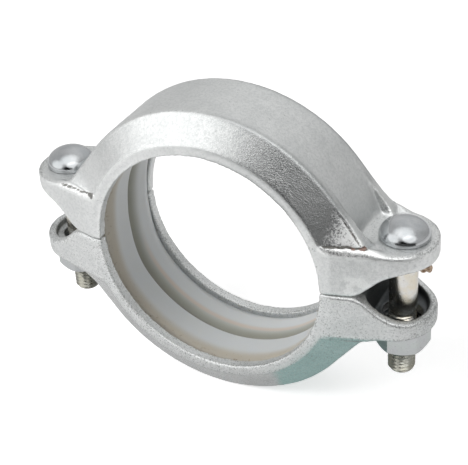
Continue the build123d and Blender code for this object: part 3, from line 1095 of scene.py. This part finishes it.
def studio_air():
    # White to the camera; the metal sees a bright room with dark areas, and the rest an even grey light
    world = bpy.data.worlds.new("Studio")
    world.use_nodes = True
    tree = world.node_tree
    tree.nodes.clear()
    direction = tree.nodes.new("ShaderNodeTexCoord").outputs["Generated"]
    level = ROOM_LEVEL
    for *angles, strength in GLOWS:
        azimuth, elevation, inner, outer = (math.radians(angle) for angle in angles)
        facing = add(tree, "ShaderNodeVectorMath", {"operation": "DOT_PRODUCT"}, i0=direction,
                     i1=towards(azimuth, elevation)).outputs["Value"]
        level = scaled(tree, ramp(tree, facing, math.cos(outer), math.cos(inner)), strength, level)
    level = maths(tree, "MAXIMUM", level, 0.0)
    rays = tree.nodes.new("ShaderNodeLightPath").outputs
    room = times(tree, rays["Is Glossy Ray"], maths(tree, "SUBTRACT", level, AMBIENT))
    room = maths(tree, "ADD", room, AMBIENT)
    tone = blend_colours(tree, rays["Is Glossy Ray"], (1, 1, 1), (0.995, 1, 0.998))
    air = add(tree, "ShaderNodeBackground", {}, Color=tone, Strength=room).outputs[0]
    white = add(tree, "ShaderNodeBackground", {}, Color=(1, 1, 1, 1), Strength=1.0).outputs[0]
    mixed = add(tree, "ShaderNodeMixShader", {}, i0=rays["Is Camera Ray"], i1=air, i2=white).outputs[0]
    output = tree.nodes.new("ShaderNodeOutputWorld")
    tree.links.new(mixed, output.inputs["Surface"])
    return world


def flag(low):
    # Dark card that stands in front of the coupling from the floor up
    azimuth, distance, width, top = FLAG
    middle = towards(math.radians(azimuth), 0) * distance
    across = towards(math.radians(azimuth + 90), 0) * (width / 2)
    corners = [middle + across * side + Vector((0, 0, height))
               for side, height in ((-1, low), (1, low), (1, top), (-1, top))]
    mesh = bpy.data.meshes.new("flag")
    mesh.from_pydata(corners, [], [(0, 1, 2, 3)])
    obj = new_object("flag", mesh)
    material, tree, surface = new_material("Black card")
    surface.inputs["Base Color"].default_value = (0.12, 0.12, 0.12, 1)
    tone = ramp(tree, grain(tree, coordinates(tree), 50 * MM), 0.3, 0.7)
    tree.links.new(scaled(tree, tone, 0.1, 0.85), surface.inputs["Roughness"])
    use_material(obj, material)
    obj.visible_camera = obj.visible_diffuse = obj.visible_shadow = obj.visible_transmission = False
    return obj


def place_camera(settings):
    back = towards(settings.azimuth, settings.elevation)
    level = Vector((math.cos(settings.azimuth), math.sin(settings.azimuth), 0))
    up = back.cross(level)
    right = level * math.cos(settings.roll) + up * math.sin(settings.roll)
    up = up * math.cos(settings.roll) - level * math.sin(settings.roll)
    data = bpy.data.cameras.new("camera")
    data.sensor_width = 36
    data.lens = settings.lens
    data.clip_start, data.clip_end = 0.01, 20
    camera = bpy.data.objects.new("camera", data)
    camera.matrix_world = Matrix.Translation(
        back * settings.distance + right * settings.aside + up * settings.above
    ) @ Matrix((right, up, back)).transposed().to_4x4()
    bpy.context.scene.collection.objects.link(camera)
    bpy.context.scene.camera = camera


class CouplingStage(bpy.types.Operator):
    """Sets up the floor, the studio light and the camera"""
    bl_idname = "coupling.stage"
    bl_label = "Stage"

    def execute(self, context):
        settings = context.scene.coupling_stage
        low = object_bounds()[0].z
        bm = bmesh.new()
        bmesh.ops.create_grid(bm, x_segments=4, y_segments=4, size=3)
        mesh = mesh_of(bm, "floor")
        mesh.transform(Matrix.Translation((0, 0, low)))
        floor = new_object("floor", mesh)
        use_material(floor, floor_material(settings))
        floor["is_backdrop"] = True
        flag(low)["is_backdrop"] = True

        context.scene.world = studio_air()
        for light in SOFTBOXES:
            softbox(*light)
        place_camera(settings)
        context.scene.view_settings.view_transform = "Standard"
        return {"FINISHED"}


class CouplingPanel(bpy.types.Panel):
    bl_idname = "VIEW3D_PT_coupling"
    bl_label = "Pipe coupling"
    bl_space_type = "VIEW_3D"
    bl_region_type = "UI"
    bl_category = "Coupling"

    def draw(self, context):
        for title, group, operator in PIECES:
            box = self.layout.box()
            box.label(text=title)
            settings = getattr(context.scene, group)
            for name in settings.__annotations__:
                box.prop(settings, name)
            box.operator(operator)


PIECES = (
    ("Castings", "coupling_casting", "coupling.castings"),
    ("Ring", "coupling_ring", "coupling.ring"),
    ("Bolts", "coupling_bolt", "coupling.bolts"),
    ("Stage", "coupling_stage", "coupling.stage"),
)
GROUPS = (
    ("coupling_casting", CouplingCastingSettings),
    ("coupling_ring", CouplingRingSettings),
    ("coupling_bolt", CouplingBoltSettings),
    ("coupling_stage", CouplingStageSettings),
)
CLASSES = (CouplingCastings, CouplingRing, CouplingBolts, CouplingStage, CouplingPanel)


def register():
    for name, group in GROUPS:
        bpy.utils.register_class(group)
        setattr(bpy.types.Scene, name, PointerProperty(type=group))
    for cls in CLASSES:
        bpy.utils.register_class(cls)


def unregister():
    for cls in reversed(CLASSES):
        bpy.utils.unregister_class(cls)
    for name, group in reversed(GROUPS):
        delattr(bpy.types.Scene, name)
        bpy.utils.unregister_class(group)


def main():
    register()
    bpy.ops.coupling.castings()
    bpy.ops.coupling.ring()
    bpy.ops.coupling.bolts()
    bpy.ops.coupling.stage()


if __name__ == "__main__":
    main()
